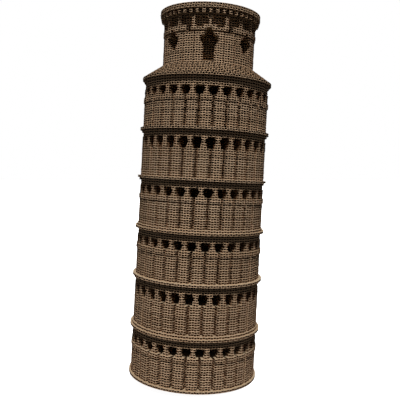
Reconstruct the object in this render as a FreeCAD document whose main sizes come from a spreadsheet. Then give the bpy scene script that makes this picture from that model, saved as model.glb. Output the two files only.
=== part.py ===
import FreeCAD, Part
import os

import Sketcher

# A desk model of a leaning round tower, built up from 160 round sheets of thin corrugated
# cardboard, each cut to its own outline, threaded on dowels and glued flat on one another.
# The whole stack leans on a wedge-shaped foot that is hidden under the base sheet.
#
# Frame: +Z up, the tower leans towards +X and its front is -Y. The origin is the middle of
# the foot's flat underside. Every sheet is drawn upright, in the stack's own frame, and its
# body's Placement lifts it to its level and leans it.

ACROSS = FreeCAD.Vector(0, 1, 0)
UPRIGHT = FreeCAD.Vector(0, 0, 1)

SIZES = [
    # the stack
    ("pitch", 1.6, "from one sheet to the next: one board and its glue line"),
    ("board", 1.55, "thickness of one sheet of corrugated board"),
    ("lean", 3.0, "angle of the stack's axis from upright, degrees"),
    # the six storeys
    ("ribs", 30, "half-columns round a storey"),
    ("wall_radius", 44.2, "crest of the half-columns"),
    ("frieze_radius", 43.85, "plain sheets between the arcade and the cornice"),
    ("cornice_inner_radius", 44.95, "narrow sheet of a cornice"),
    ("cornice_outer_radius", 46.2, "widest sheet of a cornice"),
    ("base_radius", 45.45, "base sheet"),
    ("capital_radius", 44.75, "sheets that stand proud over the half-columns"),
    ("mouth_radius", 47.6, "every gap is cut out to here, past the widest sheet"),
    ("rib_side_radius", 9.0, "roundness of a half-column's side"),
    ("groove_bottom", 40.2, "groove between two half-columns, from the axis"),
    ("groove_floor_half_angle", 1.0, "the same, half width at its bottom, degrees"),
    ("groove_half_angle", 1.7, "the same, half width at the crest, degrees"),
    ("slot_bottom", 38.9, "deep slot between two heads or capitals, from the axis"),
    ("slot_mouth", 41.2, "the same, where it opens into a groove"),
    ("capital_slot_half_angle", 0.7, "slot between two capitals, half width, degrees"),
    ("capital_gap_half_angle", 1.5, "gap between two capitals, half width, degrees"),
    ("pillar_bottom", 40.6, "back of a pillar of the arcade, from the axis"),
    ("web", 0.8, "thin web behind a pillar, half width"),
    ("opening_bottom", 28.3, "back of an arcade opening, from the axis"),
    # the steps up to the belfry
    ("setback_radius", 43.9, "lowest of the stepped sheets"),
    ("setback", 2.28, "how far each stepped sheet is set back"),
    # the belfry
    ("belfry_radius", 32.5, "wall of the belfry"),
    ("belfry_groove_turn", 18.4, "thin grooves in its wall, on both sides of a window"),
    ("belfry_groove_bottom", 30.8, "one such groove, from the axis"),
    ("belfry_groove_half_angle", 0.7, "the same, half width, degrees"),
    ("windows", 7, "windows round the belfry"),
    ("window_bottom", 19.7, "back of a window, from the axis"),
    ("upper_window_bottom", 26.3, "back of a small upper window, from the axis"),
    ("upper_window_half_angle", 3.5, "the same, half width, degrees"),
    ("ledge_radius", 33.1, "ledge round the top of the wall"),
    ("ledge_bay_turn", 12.3, "recess in the ledge beside a tall window, from it, degrees"),
    ("ledge_bay_half_angle", 4.3, "the same, half width, degrees"),
    ("piers", 18, "short piers over the ledge"),
    ("pier_radius", 32.9, "front of the piers"),
    ("pier_bottom", 28.8, "wall behind the piers"),
    ("neck_radius", 30.6, "narrow sheet over the piers"),
    ("dentils", 48, "teeth under the roof"),
    ("dentil_radius", 35.1, "tips of the teeth"),
    ("dentil_bottom", 31.6, "gap between two teeth, from the axis"),
    ("dentil_gap_half_angle", 2.1, "the same, half width, degrees"),
    ("roof_radius", 35.9, "roof sheets"),
    # what holds the stack
    ("dowels", 3, "dowels through the sheets"),
    ("dowel_radius", 1.5, "one dowel"),
    ("dowel_hole_radius", 1.55, "its hole in each sheet"),
    ("dowel_circle", 14.0, "distance of the dowels from the axis"),
    ("foot_radius", 32.0, "wedge-shaped foot"),
    ("foot_height", 2.6, "foot, on the stack's axis"),
]

# Half widths of the pillars between an arcade's openings, in degrees, one a sheet from the
# bottom up: a wide foot, a slim shaft and a wide head.
SHORT_PILLARS = [2.6, 1.9, 1.4, 2.1]
TALL_PILLARS = [2.7, 2.3, 1.7, 1.6, 2.4]

# Half widths of the slots between the heads of the half-columns, in degrees, from the
# bottom up.
HEAD_SLOTS = [0.45, 0.6, 0.75, 0.9]

# Half widths of the belfry's windows, in degrees: the stem that only the tall ones have,
# the sheets from there up to the point, and the point's tip in the ledge.
WINDOW_STEM = 6.6
STEM_SHEETS = 5
WINDOW_HALVES = [6.8, 7.7, 9.0, 10.3, 11.0, 10.0, 6.4]
WINDOW_POINT = 4.4
WINDOW_TIP = 3.0
TALL_WINDOWS = (0, 2, 5)

# Half widths of the short piers over the ledge, in degrees, from the bottom up.
PIER_HALVES = [1.9, 1.7, 1.7, 3.0]

SETBACK_SHEETS = 5
DOWELLED_SHEETS = 158

doc = FreeCAD.newDocument("leaning_tower")
sizes = doc.addObject("Spreadsheet::Sheet", "Sizes")
for row, (alias, number, meaning) in enumerate(SIZES, start=1):
    sizes.set("A%d" % row, meaning)
    sizes.set("B%d" % row, str(number))
    sizes.setAlias("B%d" % row, alias)
doc.recompute()

finished = []


def solve(formula):
    """The number that a formula of the spreadsheet's cells gives now."""
    return float(sizes.evalExpression(formula))


# ---------------------------------------------------------------- sketches


def level_sketch(body, name, level=0, turn="0"):
    """A sketch on the body's own XY plane, some sheets up and turned about the axis."""
    sketch = body.newObject("Sketcher::SketchObject", name)
    plane = next(f for f in body.Origin.OriginFeatures if f.Role == "XY_Plane")
    sketch.AttachmentSupport = [(plane, "")]
    sketch.MapMode = "FlatFace"
    spin = FreeCAD.Rotation(UPRIGHT, solve(turn))
    sketch.AttachmentOffset = FreeCAD.Placement(FreeCAD.Vector(), spin)
    sketch.setExpression("AttachmentOffset.Base.z", "%d * Sizes.pitch" % level)
    return sketch


def bind(sketch, constraint, formula):
    """Adds a constraint whose size follows a formula of the spreadsheet's cells."""
    number = sketch.addConstraint(constraint)
    sketch.setExpression("Constraints[%d]" % number, formula)


def add_circle(sketch, radius, centre=None):
    """A circle round the stack's axis, or round a centre given as two formulas."""
    size = solve(radius)
    x, y = (solve(formula) for formula in centre or ("0", "0"))
    circle = sketch.addGeometry(Part.Circle(FreeCAD.Vector(x, y, 0), UPRIGHT, size))
    bind(sketch, Sketcher.Constraint("Radius", circle, size), radius)
    if centre is None:
        sketch.addConstraint(Sketcher.Constraint("Coincident", circle, 3, -1, 1))
        return
    bind(sketch, Sketcher.Constraint("DistanceX", -1, 1, circle, 3, x), centre[0])
    bind(sketch, Sketcher.Constraint("DistanceY", -1, 1, circle, 3, y), centre[1])


def add_dowel_circles(sketch, radius):
    """One circle for each dowel, spread evenly round the stack's axis."""
    for number in range(round(solve("Sizes.dowels"))):
        angle = "(%d + 0.5) * 360 / Sizes.dowels" % number
        add_circle(sketch, radius, polar("Sizes.dowel_circle", angle))


def polar(radius, half_angle):
    """Formulas of the corner at a radius and an angle from the sketch's own -Y."""
    return "%s * sin(%s)" % (radius, half_angle), "-%s * cos(%s)" % (radius, half_angle)


def add_gap(sketch, corners, side_radius=None):
    """A closed outline, the same on both sides of the sketch's Y axis.

    The corners are those of its right half, from the back of the gap to its mouth. The side
    that ends at the last corner but one is an arc when side_radius names one.
    """
    loop = list(corners) + [("-(%s)" % x, y) for x, y in reversed(corners)]
    points = [FreeCAD.Vector(solve(x), solve(y), 0) for x, y in loop]
    curved = (len(corners) - 3, len(corners) + 1) if side_radius else ()
    ends = []
    for number, start in enumerate(points):
        stop = points[(number + 1) % len(points)]
        if number in curved:
            side = arc_into_gap(start, stop, solve(side_radius))
        else:
            side = Part.LineSegment(start, stop)
        sketch.addGeometry(side)
        forward = sketch.Geometry[number].StartPoint.isEqual(start, 1e-6)
        ends.append((1, 2) if forward else (2, 1))
        if number in curved:
            radius = Sketcher.Constraint("Radius", number, solve(side_radius))
            bind(sketch, radius, side_radius)
    for number, (x, y) in enumerate(loop):
        before = number - 1 if number else len(loop) - 1
        first = ends[number][0]
        sketch.addConstraint(
            Sketcher.Constraint("Coincident", before, ends[before][1], number, first)
        )
        down = Sketcher.Constraint("DistanceY", -1, 1, number, first, points[number].y)
        bind(sketch, down, y)
        across = Sketcher.Constraint("DistanceX", -1, 1, number, first, points[number].x)
        bind(sketch, across, x)


def arc_into_gap(start, stop, radius):
    """The arc of that radius from start to stop that swells towards the gap's middle."""
    chord = stop - start
    middle = (start + stop) * 0.5
    rise = radius - (radius**2 - chord.Length**2 / 4) ** 0.5
    swell = UPRIGHT.cross(chord).normalize() * rise
    if (middle + swell).x ** 2 > (middle - swell).x ** 2:
        swell = -swell
    return Part.Arc(start, middle + swell, stop)


# ---------------------------------------------------------------- the gaps


class Gap:
    """What is cut out of a sheet, and where round it.

    Around is the cell with the number of gaps, spread evenly; offset is how far the first
    one is turned from the front. Places are the numbers of those that are cut, or None.
    """

    def __init__(self, corners, around, offset="0", side_radius=None, places=None):
        self.corners = corners
        self.around = around
        self.offset = offset
        self.side_radius = side_radius
        self.places = places


BETWEEN_RIBS = "180 / Sizes.ribs"


def groove_front():
    """The corners of a groove at the half-columns' crest and past it."""
    return [
        polar("(Sizes.wall_radius + 0.1)", "Sizes.groove_half_angle"),
        polar("Sizes.mouth_radius", "Sizes.groove_half_angle"),
    ]


def slot(half_angle):
    """The back corners of a gap that ends in a deep, narrow slot."""
    return [polar("Sizes.slot_bottom", half_angle), polar("Sizes.slot_mouth", half_angle)]


def rib_groove():
    floor = polar("Sizes.groove_bottom", "Sizes.groove_floor_half_angle")
    corners = [floor] + groove_front()
    return Gap(corners, "Sizes.ribs", BETWEEN_RIBS, "Sizes.rib_side_radius")


def head_groove(half_angle):
    corners = slot(str(half_angle)) + groove_front()
    return Gap(corners, "Sizes.ribs", BETWEEN_RIBS, "Sizes.rib_side_radius")


def capital_gap():
    floor = polar("Sizes.slot_mouth", "0.7 * Sizes.capital_gap_half_angle")
    mouth = polar("Sizes.mouth_radius", "Sizes.capital_gap_half_angle")
    corners = slot("Sizes.capital_slot_half_angle") + [floor, mouth]
    return Gap(corners, "Sizes.ribs", BETWEEN_RIBS)


def beside_web(radius):
    """The corner at a radius, on the side of the straight web behind a pillar."""
    across = "%s * sin(%s) - Sizes.web * cos(%s)" % (radius, BETWEEN_RIBS, BETWEEN_RIBS)
    down = "-(%s * cos(%s) + Sizes.web * sin(%s))" % (radius, BETWEEN_RIBS, BETWEEN_RIBS)
    return across, down


def arcade_opening(pillar):
    """Between two pillars, and wider behind them, where only a web joins each to the core."""
    half = "(%s - %s)" % (BETWEEN_RIBS, pillar)
    back = [beside_web("Sizes.opening_bottom"), beside_web("Sizes.pillar_bottom")]
    front = [polar("Sizes.pillar_bottom", half), polar("Sizes.mouth_radius", half)]
    return Gap(back + front, "Sizes.ribs", BETWEEN_RIBS)


def belfry_grooves():
    """Two thin grooves between each window and the next."""
    back = polar("Sizes.belfry_groove_bottom", "0.5 * Sizes.belfry_groove_half_angle")
    mouth = polar("Sizes.ledge_radius", "Sizes.belfry_groove_half_angle")
    return [
        Gap([back, mouth], "Sizes.windows", "%d * Sizes.belfry_groove_turn" % side)
        for side in (-1, 1)
    ]


def window(half_angle, places=None):
    across = "Sizes.belfry_radius * sin(%s)" % half_angle
    corners = [(across, "-Sizes.window_bottom"), (across, "-Sizes.mouth_radius")]
    return Gap(corners, "Sizes.windows", places=places)


def upper_window():
    across = "Sizes.belfry_radius * sin(Sizes.upper_window_half_angle)"
    corners = [(across, "-Sizes.upper_window_bottom"), (across, "-Sizes.mouth_radius")]
    return Gap(corners, "Sizes.windows", "180 / Sizes.windows")


def ledge_bays():
    """A recess on each side of every tall window's tip, under the gaps between the piers."""
    half = "Sizes.ledge_bay_half_angle"
    corners = [polar("Sizes.pier_bottom", half), polar("Sizes.mouth_radius", half)]
    return [
        Gap(corners, "Sizes.windows", "%d * Sizes.ledge_bay_turn" % side, places=TALL_WINDOWS)
        for side in (-1, 1)
    ]


def pier_gap(pier):
    half = "(180 / Sizes.piers - %s)" % pier
    corners = [polar("Sizes.pier_bottom", half), polar("Sizes.mouth_radius", half)]
    return Gap(corners, "Sizes.piers", "180 / Sizes.piers")


def dentil_gap():
    half = "Sizes.dentil_gap_half_angle"
    corners = [polar("Sizes.dentil_bottom", half), polar("Sizes.mouth_radius", half)]
    return Gap(corners, "Sizes.dentils", "180 / Sizes.dentils")


# ---------------------------------------------------------------- the sheets


def new_body(label):
    body = doc.addObject("PartDesign::Body", label)
    body.Label = label
    body.AllowCompound = True
    finished.append(body)
    return body


def lean(part, level):
    """Lifts a part to its level in the stack and leans it with the stack."""
    turn = FreeCAD.Rotation(ACROSS, solve("Sizes.lean"))
    foot = FreeCAD.Vector(0, 0, solve("Sizes.foot_height"))
    rise = FreeCAD.Vector(0, 0, level * solve("Sizes.pitch"))
    part.Placement = FreeCAD.Placement(foot + turn.multVec(rise), turn)


def pad(body, sketch, length):
    feature = body.newObject("PartDesign::Pad", "pad")
    feature.Profile = sketch
    feature.setExpression("Length", length)
    feature.Refine = False


def cut(body, sketch):
    """Cuts upwards from the sketch, one board deep."""
    feature = body.newObject("PartDesign::Pocket", "cut")
    feature.Profile = sketch
    feature.Reversed = True
    feature.Refine = False
    feature.setExpression("Length", "Sizes.board")
    return feature


def repeat_round(body, feature, sketch, around):
    pattern = body.newObject("PartDesign::PolarPattern", "round")
    pattern.Originals = [feature]
    pattern.Axis = (sketch, ["N_Axis"])
    pattern.Angle = 360
    pattern.setExpression("Occurrences", around)
    pattern.Refine = False
    body.Tip = pattern


def repeat_up(body, sketch, copies):
    doc.recompute()
    pattern = body.newObject("PartDesign::LinearPattern", "up")
    pattern.TransformMode = "Whole shape"
    pattern.Direction = (sketch, ["N_Axis"])
    pattern.Mode = "Spacing"
    pattern.setExpression("Offset", "Sizes.pitch")
    pattern.Occurrences = copies
    pattern.Refine = False
    body.Tip = pattern


def cut_gap(body, gap, level):
    if gap.places is None:
        sketch = level_sketch(body, "gap", level, gap.offset)
        add_gap(sketch, gap.corners, gap.side_radius)
        feature = cut(body, sketch)
        repeat_round(body, feature, sketch, gap.around)
        return
    for place in gap.places:
        turn = "%s + %d * 360 / %s" % (gap.offset, place, gap.around)
        sketch = level_sketch(body, "gap", level, turn)
        add_gap(sketch, gap.corners, gap.side_radius)
        cut(body, sketch)


def sheets(label, start, layers, copies=1, dowelled=True):
    """One node of separate sheets, from layers of (radius, gaps), each a sheet up.

    A layer that is the same all the way up is given once, with the number of its copies.
    Returns the level over the top sheet.
    """
    body = new_body(label)
    for level, (radius, gaps) in enumerate(layers):
        blank = level_sketch(body, "blank", level)
        add_circle(blank, radius)
        if dowelled:
            add_dowel_circles(blank, "Sizes.dowel_hole_radius")
        pad(body, blank, "Sizes.board")
        for gap in gaps:
            cut_gap(body, gap, level)
    if copies > 1:
        repeat_up(body, blank, copies)
    lean(body, start)
    return start + len(layers) * copies


def cornice(storey, start, wide_below):
    """Two plain sheets, one wider than the other."""
    inner = ("cornice_inner", "Sizes.cornice_inner_radius")
    outer = ("cornice_outer", "Sizes.cornice_outer_radius")
    order = [outer, inner] if wide_below else [inner, outer]
    level = start
    for name, radius in order:
        level = sheets("storey_%d_%s" % (storey, name), level, [(radius, [])])
    return level


def storey_with_capitals(storey, start, frieze_sheets, wide_below):
    """Half-columns with heads and capitals, and a low arcade over them."""
    wall = "Sizes.wall_radius"
    name = "storey_%d_" % storey
    level = sheets(name + "ribs", start, [(wall, [rib_groove()])], 7)
    heads = [(wall, [head_groove(half)]) for half in HEAD_SLOTS]
    level = sheets(name + "rib_heads", level, heads)
    capitals = [("Sizes.capital_radius", [capital_gap()])]
    level = sheets(name + "capitals", level, capitals, 2)
    arcade = [(wall, [arcade_opening(pillar)]) for pillar in SHORT_PILLARS]
    level = sheets(name + "arcade", level, arcade)
    level = sheets(name + "frieze", level, [("Sizes.frieze_radius", [])], frieze_sheets)
    return cornice(storey, level, wide_below)


def storey_with_tall_arcade(storey, start, wide_below):
    """Plain half-columns that run straight up to a taller arcade."""
    wall = "Sizes.wall_radius"
    name = "storey_%d_" % storey
    level = sheets(name + "ribs", start, [(wall, [rib_groove()])], 12)
    arcade = [(wall, [arcade_opening(pillar)]) for pillar in TALL_PILLARS]
    level = sheets(name + "arcade", level, arcade)
    level = sheets(name + "frieze", level, [("Sizes.frieze_radius", [])], 2)
    return cornice(storey, level, wide_below)


def setback_sheets(start):
    """The stepped sheets between the top storey and the belfry."""
    level = start
    for step in range(SETBACK_SHEETS):
        radius = "Sizes.setback_radius - %d * Sizes.setback" % step
        level = sheets("setback_sheet_%d" % (step + 1), level, [(radius, [])])
    return level


def belfry(start):
    """The narrower drum on top, with its windows, ledge, piers and teeth."""
    wall = "Sizes.belfry_radius"
    level = sheets("belfry_sill_sheet", start, [(wall, belfry_grooves())])
    stem = [(wall, belfry_grooves() + [window(WINDOW_STEM, TALL_WINDOWS)])]
    level = sheets("belfry_lower_window_sheets", level, stem, STEM_SHEETS)
    arches = [(wall, belfry_grooves() + [window(half)]) for half in WINDOW_HALVES]
    level = sheets("belfry_upper_window_sheets", level, arches)
    point = [(wall, belfry_grooves() + [window(WINDOW_POINT), upper_window()])]
    level = sheets("belfry_window_point_sheet", level, point)
    over_point = ("Sizes.ledge_radius", [window(WINDOW_TIP), upper_window()])
    over_tip = ("Sizes.ledge_radius", ledge_bays() + [upper_window()])
    level = sheets("belfry_ledge_sheets", level, [over_point, over_tip])
    piers = [("Sizes.pier_radius", [pier_gap(half)]) for half in PIER_HALVES]
    level = sheets("belfry_pier_sheets", level, piers)
    level = sheets("belfry_neck_sheet", level, [("Sizes.neck_radius", [])])
    level = sheets("dentil_sheets", level, [("Sizes.dentil_radius", [dentil_gap()])], 2)
    return sheets("roof_sheets", level, [("Sizes.roof_radius", [])], 2, dowelled=False)


# ---------------------------------------------------------------- what holds the stack


def registration_dowels():
    """Round wooden rods through every sheet under the roof."""
    body = new_body("registration_dowels")
    sketch = level_sketch(body, "dowels")
    add_dowel_circles(sketch, "Sizes.dowel_radius")
    length = "%d * Sizes.pitch - (Sizes.pitch - Sizes.board)" % DOWELLED_SHEETS
    pad(body, sketch, length)
    lean(body, 0)


def tilt_foot():
    """A round wooden wedge: upright below, cut off along the stack's underside above."""
    blank = doc.addObject("Part::Cylinder", "foot_blank")
    blank.setExpression("Radius", "Sizes.foot_radius")
    blank.setExpression("Height", "3 * Sizes.foot_height")
    stack = doc.addObject("Part::Cylinder", "stack_room")
    stack.setExpression("Radius", "2 * Sizes.foot_radius")
    stack.setExpression("Height", "9 * Sizes.foot_height")
    lean(stack, 0)
    foot = doc.addObject("Part::Cut", "tilt_foot")
    foot.Label = "tilt_foot"
    foot.Base = blank
    foot.Tool = stack
    finished.append(foot)


def check_and_write():
    """Stops on a failed feature, then writes each finished part to its own file."""
    doc.recompute()
    for item in doc.Objects:
        if "Invalid" in item.State or "Error" in item.State:
            raise RuntimeError("%s did not build: %s" % (item.Label, item.State))
    for part in finished:
        if part.Shape.isNull() or not part.Shape.isValid():
            raise RuntimeError("%s has no valid shape" % part.Label)
    os.makedirs("parts", exist_ok=True)
    for part in finished:
        part.Shape.exportStep("parts/%s.step" % part.Label)
        print("%-30s %2d pieces" % (part.Label, len(part.Shape.Solids)))


tilt_foot()
registration_dowels()
top = sheets("base_sheet", 0, [("Sizes.base_radius", [])])
top = storey_with_capitals(1, top, frieze_sheets=3, wide_below=True)
top = storey_with_tall_arcade(2, top, wide_below=False)
top = storey_with_capitals(3, top, frieze_sheets=3, wide_below=True)
top = storey_with_capitals(4, top, frieze_sheets=2, wide_below=False)
top = storey_with_tall_arcade(5, top, wide_below=False)
top = storey_with_capitals(6, top, frieze_sheets=3, wide_below=False)
top = setback_sheets(top)
top = belfry(top)
print("sheets in the stack:", top)
check_and_write()
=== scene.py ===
import math
import random

import bmesh
import bpy
import numpy as np
from mathutils import Matrix, Vector
from mathutils.geometry import tessellate_polygon


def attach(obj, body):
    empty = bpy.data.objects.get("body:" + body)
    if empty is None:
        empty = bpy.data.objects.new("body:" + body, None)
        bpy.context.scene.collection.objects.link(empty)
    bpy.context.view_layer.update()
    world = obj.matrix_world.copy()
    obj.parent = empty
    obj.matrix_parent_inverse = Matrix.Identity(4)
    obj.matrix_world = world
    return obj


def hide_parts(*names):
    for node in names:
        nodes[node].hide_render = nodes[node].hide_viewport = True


# A leaning round tower glued up from 160 sheets of thin corrugated board. The CAD frame has
# each sheet as a plain solid; here each one becomes what it really is, two flat liners with
# a waved medium between them, cut to the same outline, so that the flutes show as holes all
# round the tower. Lengths are in metres, as in the frame.

MM = 0.001

# A face whose normal's z is over this is the top of a sheet.
UPWARDS = 0.9

# Corners this close together are one corner, in the CAD's meshes and in the board's own.
CAD_MERGE = 1e-6
BOARD_MERGE = 1e-7

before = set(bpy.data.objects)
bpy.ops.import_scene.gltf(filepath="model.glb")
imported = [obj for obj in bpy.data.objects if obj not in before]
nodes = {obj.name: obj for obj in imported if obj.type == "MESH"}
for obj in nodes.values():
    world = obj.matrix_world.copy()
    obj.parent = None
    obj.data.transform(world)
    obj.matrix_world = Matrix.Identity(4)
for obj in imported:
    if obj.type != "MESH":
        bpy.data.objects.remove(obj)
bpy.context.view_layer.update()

# ---------------------------------------------------------------- the stack, from the frame


def stack_placement():
    """The turn and the origin of the leaning stack, read from its base sheet."""
    mesh = nodes["base_sheet"].data
    axis = Vector()
    for face in mesh.polygons:
        if face.normal.z > UPWARDS:
            axis += face.normal * face.area
    turn = Matrix.Rotation(math.atan2(axis.x, axis.z), 3, "Y")
    upright = [turn.transposed() @ vertex.co for vertex in mesh.vertices]
    low = Vector(map(min, *upright))
    high = Vector(map(max, *upright))
    underside = Vector(((low.x + high.x) / 2, (low.y + high.y) / 2, low.z))
    return turn, turn @ underside


TURN, ORIGIN = stack_placement()
TO_WORLD = Matrix.Translation(ORIGIN) @ TURN.to_4x4()
TO_STACK = TO_WORLD.inverted()


def heights_of(node):
    """Where a node's underside and top are along the stack's axis."""
    levels = [(TO_STACK @ vertex.co).z for vertex in nodes[node].data.vertices]
    return min(levels), max(levels)


# The axis starts at the base sheet's underside, and the next sheet is one pitch up it.
BOARD = heights_of("base_sheet")[1]
PITCH = heights_of("storey_1_ribs")[0]
GLUE = PITCH - BOARD
STOREYS_TOP = heights_of("setback_sheet_1")[0]

WOODEN = ("tilt_foot", "registration_dowels")
SHEET_NODES = sorted(name for name in nodes if name not in WOODEN)

# ---------------------------------------------------------------- corrugated board

# The two papers' thicknesses, the length of a wave, and half the length of its slope.
LINER = 0.16 * MM
MEDIUM = 0.18 * MM
FLUTE = 3.6 * MM
FLANK = 0.21 * MM

# Each sheet reaches this far into the glue line under it, and over it, so that no gap shows.
INTO_GLUE = 0.4 * GLUE

# One wave of the medium, as (x, underside, upper side): 0 is down on the lower liner and 1
# is up under the other one.
WAVE = (
    (-FLANK, 0, 0),
    (0, 0, 1),
    (FLANK, 1, 1),
    (FLUTE / 4, 1, 1),
    (FLUTE / 2 - FLANK, 1, 1),
    (FLUTE / 2, 0, 1),
    (FLUTE / 2 + FLANK, 0, 0),
    (FLUTE * 3 / 4, 0, 0),
)

# How far a sheet may be turned and shifted, and its flutes shifted along it. The flutes of
# the sheets that step in aren't lined up at all.
LOOSE_TURN = math.radians(0.22)
LOOSE_SHIFT = 0.07 * MM
FLUTE_SHIFT = 0.2 * MM
ANY_FLUTE_SHIFT = FLUTE / 2

# The medium's first and last lines are this far inside the outline's ends.
END_MARGIN = 0.02 * MM


def outlines_by_level(node):
    """The outlines of each sheet in a CAD node, {level: [closed lists of (x, y)]}."""
    bm = bmesh.new()
    bm.from_mesh(nodes[node].data)
    bm.transform(TO_STACK)
    bmesh.ops.remove_doubles(bm, verts=bm.verts, dist=CAD_MERGE)
    caps = {}
    for face in bm.faces:
        if face.normal.z > UPWARDS:
            level = round((face.calc_center_median().z - BOARD) / PITCH)
            caps.setdefault(level, []).append(face)
    outlines = {}
    for level, faces in caps.items():
        on_cap = set(faces)
        following = {}
        for face in faces:
            for corner in face.loops:
                if not any(other in on_cap for other in corner.edge.link_faces if other != face):
                    following[corner.vert] = corner.link_loop_next.vert
        loops = []
        while following:
            start, vertex = following.popitem()
            loop = [start.co.xy[:]]
            while vertex != start:
                loop.append(vertex.co.xy[:])
                vertex = following.pop(vertex)
            loops.append(loop)
        outlines[level] = loops
    bm.free()
    return outlines


# A face is on the outside of the board, on a cut through it, or inside its flutes.
OUTSIDE, CUT, INSIDE = range(3)


class BoardMesh:
    """Gathers the vertices and faces of one node's sheets, and each face's kind."""

    def __init__(self):
        self.vertices = []
        self.faces = []
        self.kinds = []

    def add(self, vertices, faces, kinds):
        first = len(self.vertices)
        self.vertices.extend(vertices)
        self.faces.extend([tuple(first + corner for corner in face) for face in faces])
        self.kinds.extend(kinds)

    def liner(self, loops, bottom, top, under, over):
        """A flat sheet of paper: its faces under and over, and its cut edge."""
        flat = [Vector((x, y, 0)) for loop in loops for x, y in loop]
        count = len(flat)
        vertices = [(p.x, p.y, bottom) for p in flat] + [(p.x, p.y, top) for p in flat]
        faces = []
        kinds = []
        rings = [[Vector((x, y, 0)) for x, y in loop] for loop in loops]
        for a, b, c in tessellate_polygon(rings):
            up = (flat[b] - flat[a]).cross(flat[c] - flat[a]).z > 0
            low = (c, b, a) if up else (a, b, c)
            faces.append(low)
            faces.append(tuple(count + corner for corner in reversed(low)))
            kinds += [under, over]
        first = 0
        for loop in loops:
            size = len(loop)
            for step in range(size):
                a = first + step
                b = first + (step + 1) % size
                faces.append((a, b, b + count, a + count))
                kinds.append(CUT)
            first += size
        self.add(vertices, faces, kinds)

    def medium(self, loops, bottom, top, shift):
        """The waved paper between the liners, cut to the outline, strip by strip."""
        swing = top - bottom - MEDIUM
        reach = max(abs(x) for loop in loops for x, _ in loop) - END_MARGIN
        waves = math.ceil(reach / FLUTE) + 1
        lines = [
            (number * FLUTE + x + shift, bottom + swing * under, bottom + MEDIUM + swing * over)
            for number in range(-waves, waves + 1)
            for x, under, over in WAVE
            if abs(number * FLUTE + x + shift) < reach
        ]
        lines.insert(0, (-reach, *lines[0][1:]))
        lines.append((reach, *lines[-1][1:]))
        places = [x for x, _, _ in lines]
        cuts = crossings(loops, places)
        halfway = crossings(loops, [(a + b) / 2 for a, b in zip(places, places[1:])])
        joined_before = False
        for number, (a, b) in enumerate(zip(lines, lines[1:])):
            here, there = cuts[number], cuts[number + 1]
            joined = len(here) == len(there) == len(halfway[number])
            if joined:
                strips = list(zip(here, there))
            else:
                strips = [(span, span) for span in halfway[number]]
            for near, far in strips:
                self.strip(a, b, near, far, not (joined and joined_before))
                self.stop(a[0], b[0], sum(near) / 2, sum(far) / 2, bottom, top)
            joined_before = joined

    def strip(self, a, b, near, far, closed):
        """One flat facet of the medium, from the line a to the line b."""
        vertices = []
        for (x, under, over), span in ((a, near), (b, far)):
            for y in span:
                vertices += [(x, y, under), (x, y, over)]
        faces = [(0, 2, 6, 4), (1, 5, 7, 3), (0, 4, 5, 1), (2, 3, 7, 6)]
        kinds = [INSIDE, INSIDE, CUT, CUT]
        if closed:
            faces.append((0, 1, 3, 2))
            kinds.append(CUT)
        self.add(vertices, faces, kinds)

    def stop(self, x0, x1, y0, y1, bottom, top):
        """Closes the flutes half-way through the board, so that no light shows through; it takes
        the flutes' nearly black painted shade.
        """
        corners = [(x0, y0, bottom), (x1, y1, bottom), (x1, y1, top), (x0, y0, top)]
        self.add(corners, [(0, 1, 2, 3)], [INSIDE])

    def make(self, name):
        """Puts what was gathered into the scene, as one piece."""
        mesh = bpy.data.meshes.new(name)
        points = [TO_WORLD @ Vector(point) for point in self.vertices]
        mesh.from_pydata(points, [], self.faces)
        mesh.polygons.foreach_set("material_index", self.kinds)
        bm = bmesh.new()
        bm.from_mesh(mesh)
        bmesh.ops.remove_doubles(bm, verts=bm.verts, dist=BOARD_MERGE)
        bm.to_mesh(mesh)
        bm.free()
        piece = bpy.data.objects.new(name, mesh)
        bpy.context.scene.collection.objects.link(piece)
        return piece


def crossings(loops, lines):
    """Where each line x = constant is inside the outlines, as lists of (low y, high y)."""
    starts = np.array([p for loop in loops for p in loop])
    stops = np.array([p for loop in loops for p in loop[1:] + loop[:1]])
    spans = []
    for x in lines:
        over = (starts[:, 0] <= x) != (stops[:, 0] <= x)
        a, b = starts[over], stops[over]
        y = a[:, 1] + (x - a[:, 0]) * (b[:, 1] - a[:, 1]) / (b[:, 0] - a[:, 0])
        y = np.sort(y).tolist()
        spans.append(list(zip(y[0::2], y[1::2])))
    return spans


def loosened(loops, dice):
    """The outlines, turned and shifted a little, as a sheet glued by hand lies."""
    turn = dice.uniform(-LOOSE_TURN, LOOSE_TURN)
    across = dice.uniform(-LOOSE_SHIFT, LOOSE_SHIFT)
    along = dice.uniform(-LOOSE_SHIFT, LOOSE_SHIFT)
    cos, sin = math.cos(turn), math.sin(turn)
    return [
        [(x * cos - y * sin + across, x * sin + y * cos + along) for x, y in loop]
        for loop in loops
    ]


def corrugated(node):
    """The node's sheets as real corrugated board, in one piece that replaces it."""
    board = BoardMesh()
    for level, loops in sorted(outlines_by_level(node).items()):
        dice = random.Random(level)
        loops = loosened(loops, dice)
        slack = ANY_FLUTE_SHIFT if node.startswith("setback") else FLUTE_SHIFT
        shift = dice.uniform(-slack, slack)
        bottom = level * PITCH - INTO_GLUE
        top = bottom + BOARD + 2 * INTO_GLUE
        board.liner(loops, bottom, bottom + LINER, OUTSIDE, INSIDE)
        board.liner(loops, top - LINER, top, INSIDE, OUTSIDE)
        board.medium(loops, bottom + LINER, top - LINER, shift)
    piece = board.make(node + "_board")
    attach(piece, "root")
    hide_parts(node)
    return piece


# ---------------------------------------------------------------- materials


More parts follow.
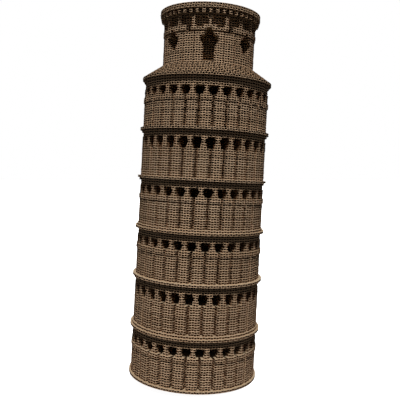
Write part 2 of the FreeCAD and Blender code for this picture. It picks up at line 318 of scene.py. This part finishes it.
class Nodes:
    """A few short calls for building a material's node tree."""

    def __init__(self, name):
        self.material = bpy.data.materials.new(name)
        self.material.use_nodes = True
        self.tree = self.material.node_tree
        self.shader = self.tree.nodes["Principled BSDF"]

    def add(self, kind, **settings):
        node = self.tree.nodes.new(kind)
        for key, value in settings.items():
            setattr(node, key, value)
        return node

    def link(self, source, target):
        self.tree.links.new(source, target)

    def math(self, operation, *values):
        node = self.add("ShaderNodeMath", operation=operation)
        for socket, value in zip(node.inputs, values):
            self.feed(socket, value)
        return node.outputs[0]

    def feed(self, socket, value):
        if isinstance(value, bpy.types.NodeSocket):
            self.link(value, socket)
        else:
            socket.default_value = value

    def noise(self, where, scale, detail, rough):
        node = self.add("ShaderNodeTexNoise")
        self.link(where, node.inputs["Vector"])
        node.inputs["Scale"].default_value = scale
        node.inputs["Detail"].default_value = detail
        node.inputs["Roughness"].default_value = rough
        return node.outputs["Fac"]

    def mix(self, amount, first, second, blend="MIX"):
        node = self.add("ShaderNodeMix", data_type="RGBA", blend_type=blend)
        self.feed(node.inputs["Factor"], amount)
        self.feed(node.inputs["A"], first)
        self.feed(node.inputs["B"], second)
        return node.outputs["Result"]

    def spread(self, value, low, high, to_low=0.0, to_high=1.0):
        node = self.add("ShaderNodeMapRange")
        self.link(value, node.inputs["Value"])
        node.inputs["From Min"].default_value = low
        node.inputs["From Max"].default_value = high
        node.inputs["To Min"].default_value = to_low
        node.inputs["To Max"].default_value = to_high
        return node.outputs["Result"]

    def stretched(self, where, factors):
        node = self.add("ShaderNodeVectorMath", operation="MULTIPLY")
        self.link(where, node.inputs[0])
        node.inputs[1].default_value = factors
        return node.outputs[0]

    def bump(self, height, strength, distance):
        node = self.add("ShaderNodeBump")
        node.inputs["Strength"].default_value = strength
        node.inputs["Distance"].default_value = distance
        self.link(height, node.inputs["Height"])
        self.link(node.outputs[0], self.shader.inputs["Normal"])


def stack_coordinates(n):
    """Places in the stack's own frame: x and y across a sheet, z up the leaning axis."""
    place = n.add("ShaderNodeTexCoord")
    mapping = n.add("ShaderNodeMapping", vector_type="TEXTURE")
    mapping.inputs["Location"].default_value = ORIGIN
    mapping.inputs["Rotation"].default_value = TURN.to_euler()
    n.link(place.outputs["Object"], mapping.inputs["Vector"])
    return mapping.outputs["Vector"]


# In the storeys, cut edges this far from the axis get no painted shade, and get the full painted
# shade of the grooves this far in, where less light reaches.
UNSHADED_FROM = 43.8 * MM
FULL_GROOVE_SHADE_TO = 42.5 * MM
# The tone of the painted groove shade, multiplied into the cut edges' colour.
GROOVE_SHADE_TONE = (0.70, 0.62, 0.55, 1)

# How fine the paper's noises are, in spots a metre, and how its fibres are drawn out.
FIBRES = 2600.0
FLECKS = 1500.0
CLOUDS = 60.0
FIBRE_STRETCH = (1.0, 0.22, 1.0)

# How much the fibres, the clouds and a sheet's own tone count in the paper's tone.
FIBRE_SHARE = 0.6
CLOUD_SHARE = 0.4
SHEET_SHARE = 0.22

# How strong the dark flecks and the light fibres are, and their tones beside the paper's.
DARK_FLECKS = 0.4
DARKER = 0.4
LIGHT_FIBRES = 0.3
LIGHTER = 1.3

# A relief is a bump's strength and its depth.
PAPER_GLOSS = 0.25
PAPER_RELIEF = (0.35, 0.06 * MM)

WOOD_GRAIN = 900.0
WOOD_RELIEF = (0.3, 0.05 * MM)
GRAIN_UP = (1.0, 1.0, 0.05)
GRAIN_ACROSS = (0.06, 1.0, 1.0)


def kraft(name, dark_tone, light_tone, painted_groove_shade=False):
    """Brown kraft paper: fibres, flecks, a slight tone of its own for each sheet.

    Painted shade: with that flag set, cut edges are painted darker down in the storeys' grooves
    and openings, where less light reaches.
    """
    n = Nodes(name)
    where = stack_coordinates(n)
    parts = n.add("ShaderNodeSeparateXYZ")
    n.link(where, parts.inputs[0])
    level = n.math("FLOOR", n.math("DIVIDE", n.math("ADD", parts.outputs["Z"], GLUE / 2), PITCH))
    own = n.add("ShaderNodeTexWhiteNoise", noise_dimensions="1D")
    n.link(level, own.inputs["W"])

    fibres = n.noise(n.stretched(where, FIBRE_STRETCH), FIBRES, 4.0, 0.7)
    flecks = n.noise(where, FLECKS, 2.0, 0.5)
    clouds = n.noise(where, CLOUDS, 3.0, 0.6)

    tone = n.math("MULTIPLY", fibres, FIBRE_SHARE)
    tone = n.math("MULTIPLY_ADD", clouds, CLOUD_SHARE, tone)
    tone = n.math("MULTIPLY_ADD", own.outputs["Value"], SHEET_SHARE, tone)
    colour = n.mix(n.spread(tone, 0.35, 0.9), (*dark_tone, 1), (*light_tone, 1))
    dark = n.math("MULTIPLY", n.spread(flecks, 0.66, 0.78), DARK_FLECKS)
    colour = n.mix(dark, colour, (*(DARKER * part for part in dark_tone), 1))
    light = n.math("MULTIPLY", n.spread(fibres, 0.68, 0.82), LIGHT_FIBRES)
    colour = n.mix(light, colour, (*(LIGHTER * part for part in light_tone), 1))
    # Painted shade in the grooves: darker the nearer the axis, only below the storeys' top.
    if painted_groove_shade:
        squares = [n.math("MULTIPLY", parts.outputs[i], parts.outputs[i]) for i in "XY"]
        radius = n.math("SQRT", n.math("ADD", *squares))
        deep = n.spread(radius, FULL_GROOVE_SHADE_TO, UNSHADED_FROM, 1.0, 0.0)
        below = n.math("LESS_THAN", parts.outputs["Z"], STOREYS_TOP)
        colour = n.mix(n.math("MULTIPLY", deep, below), colour, GROOVE_SHADE_TONE, "MULTIPLY")
    n.link(colour, n.shader.inputs["Base Color"])
    n.link(n.spread(fibres, 0.3, 0.8, 0.96, 0.78), n.shader.inputs["Roughness"])
    n.shader.inputs["Specular IOR Level"].default_value = PAPER_GLOSS
    n.bump(fibres, *PAPER_RELIEF)
    return n.material


def wood(name, light, dark, grain_stretch):
    """Plain wood, its grain drawn out along the axis with the smallest factor."""
    n = Nodes(name)
    where = stack_coordinates(n)
    grain = n.noise(n.stretched(where, grain_stretch), WOOD_GRAIN, 4.0, 0.6)
    n.link(n.mix(n.spread(grain, 0.3, 0.75), dark, light), n.shader.inputs["Base Color"])
    n.link(n.spread(grain, 0.3, 0.75, 0.75, 0.55), n.shader.inputs["Roughness"])
    n.bump(grain, *WOOD_RELIEF)
    return n.material


def give(piece, *materials):
    """Puts the materials in the piece's slots, in that order, and keeps its faces' choice."""
    kinds = [face.material_index for face in piece.data.polygons]
    piece.data.materials.clear()
    for material in materials:
        piece.data.materials.append(material)
    piece.data.polygons.foreach_set("material_index", kinds)


# ---------------------------------------------------------------- camera, light, floor

LENS = 50.57
SENSOR = 36.0
CAMERA_AWAY = 406.8 * MM
EYE_UP_THE_AXIS = 141.7 * MM
SHIFT = (-0.0057, -0.064)

KEY = 4.35
KEY_ELEVATION = math.radians(62)
KEY_TURN = math.radians(4)
KEY_SOFTNESS = math.radians(12)
BACK = 1.3
BACK_ELEVATION = math.radians(18)
BACK_SOFTNESS = math.radians(40)
FILL_FROM_ABOVE = 0.155
FILL_FROM_BELOW = 0.055
FILL_CHANGES_OVER = 0.3
FLOOR_GLOW = 0.95
FLOOR_REACH = 12.0


def make_camera():
    """Level, in front of the tower's axis, a little over half-way up it."""
    data = bpy.data.cameras.new("camera")
    data.lens = LENS
    data.sensor_width = SENSOR
    data.shift_x, data.shift_y = SHIFT
    data.clip_start = 0.01
    data.clip_end = 20.0
    camera = bpy.data.objects.new("camera", data)
    camera.location = TO_WORLD @ Vector((0, 0, EYE_UP_THE_AXIS))
    camera.location.y -= CAMERA_AWAY
    camera.rotation_euler = (math.pi / 2, 0, 0)
    bpy.context.scene.collection.objects.link(camera)
    bpy.context.scene.camera = camera


def make_light(name, energy, softness, elevation, turn):
    """A broad even light, the same all over the tower; a turn of 0 is from the front."""
    data = bpy.data.lights.new(name, "SUN")
    data.energy = energy
    data.angle = softness
    light = bpy.data.objects.new(name, data)
    light.rotation_euler = (math.pi / 2 - elevation, 0, turn)
    bpy.context.scene.collection.objects.link(light)


def make_floor():
    """A pale floor as bright as the air behind it, on which shadows are all but gone."""
    signs = ((-1, -1), (1, -1), (1, 1), (-1, 1))
    corners = [(x * FLOOR_REACH, y * FLOOR_REACH, 0) for x, y in signs]
    mesh = bpy.data.meshes.new("floor")
    mesh.from_pydata(corners, [], [(0, 1, 2, 3)])
    floor = bpy.data.objects.new("floor", mesh)
    bpy.context.scene.collection.objects.link(floor)
    floor.visible_diffuse = False
    floor.visible_glossy = False
    n = Nodes("floor_paper")
    n.shader.inputs["Base Color"].default_value = (0.85, 0.85, 0.845, 1)
    n.shader.inputs["Roughness"].default_value = 1.0
    n.shader.inputs["Specular IOR Level"].default_value = 0.0
    n.shader.inputs["Emission Color"].default_value = (1, 1, 1, 1)
    n.shader.inputs["Emission Strength"].default_value = FLOOR_GLOW
    give(floor, n.material)


def make_world():
    """White behind the tower, and a weak even light from above and all round."""
    world = bpy.data.worlds.new("studio")
    world.use_nodes = True
    tree = world.node_tree
    background = tree.nodes["Background"]
    seen = tree.nodes.new("ShaderNodeBackground")
    background.inputs["Color"].default_value = (1.0, 0.98, 0.96, 1)
    where = tree.nodes.new("ShaderNodeTexCoord")
    height = tree.nodes.new("ShaderNodeSeparateXYZ")
    strength = tree.nodes.new("ShaderNodeMapRange")
    strength.inputs["From Min"].default_value = -FILL_CHANGES_OVER
    strength.inputs["From Max"].default_value = FILL_CHANGES_OVER
    strength.inputs["To Min"].default_value = FILL_FROM_BELOW
    strength.inputs["To Max"].default_value = FILL_FROM_ABOVE
    tree.links.new(where.outputs["Generated"], height.inputs[0])
    tree.links.new(height.outputs["Z"], strength.inputs["Value"])
    tree.links.new(strength.outputs["Result"], background.inputs["Strength"])
    seen.inputs["Color"].default_value = (1, 1, 1, 1)
    seen.inputs["Strength"].default_value = 1.0
    path = tree.nodes.new("ShaderNodeLightPath")
    mix = tree.nodes.new("ShaderNodeMixShader")
    tree.links.new(path.outputs["Is Camera Ray"], mix.inputs["Fac"])
    tree.links.new(background.outputs[0], mix.inputs[1])
    tree.links.new(seen.outputs[0], mix.inputs[2])
    tree.links.new(mix.outputs[0], tree.nodes["World Output"].inputs["Surface"])
    bpy.context.scene.world = world


# ---------------------------------------------------------------- putting it together

papers = (
    kraft("kraft_face", (0.229, 0.159, 0.093), (0.370, 0.275, 0.174)),
    kraft("kraft_cut_edge", (0.47, 0.299, 0.169), (0.73, 0.512, 0.334), painted_groove_shade=True),
    # Painted shade: the faces inside the flutes, the stops among them, are coloured nearly black
    # for the dark that falls in them.
    kraft("kraft_flute_painted_shade", (0.060, 0.019, 0.005), (0.110, 0.038, 0.011)),
)
for node in SHEET_NODES:
    give(corrugated(node), *papers)

birch = wood("birch_dowel", (0.70, 0.54, 0.35, 1), (0.52, 0.37, 0.21, 1), GRAIN_UP)
plywood = wood("sanded_plywood", (0.52, 0.38, 0.23, 1), (0.36, 0.25, 0.14, 1), GRAIN_ACROSS)
give(nodes["registration_dowels"], birch)
give(nodes["tilt_foot"], plywood)

make_camera()
make_floor()
make_world()
make_light("key", KEY, KEY_SOFTNESS, KEY_ELEVATION, KEY_TURN)
make_light("back", BACK, BACK_SOFTNESS, BACK_ELEVATION, math.pi)
bpy.context.scene.view_settings.view_transform = "Standard"
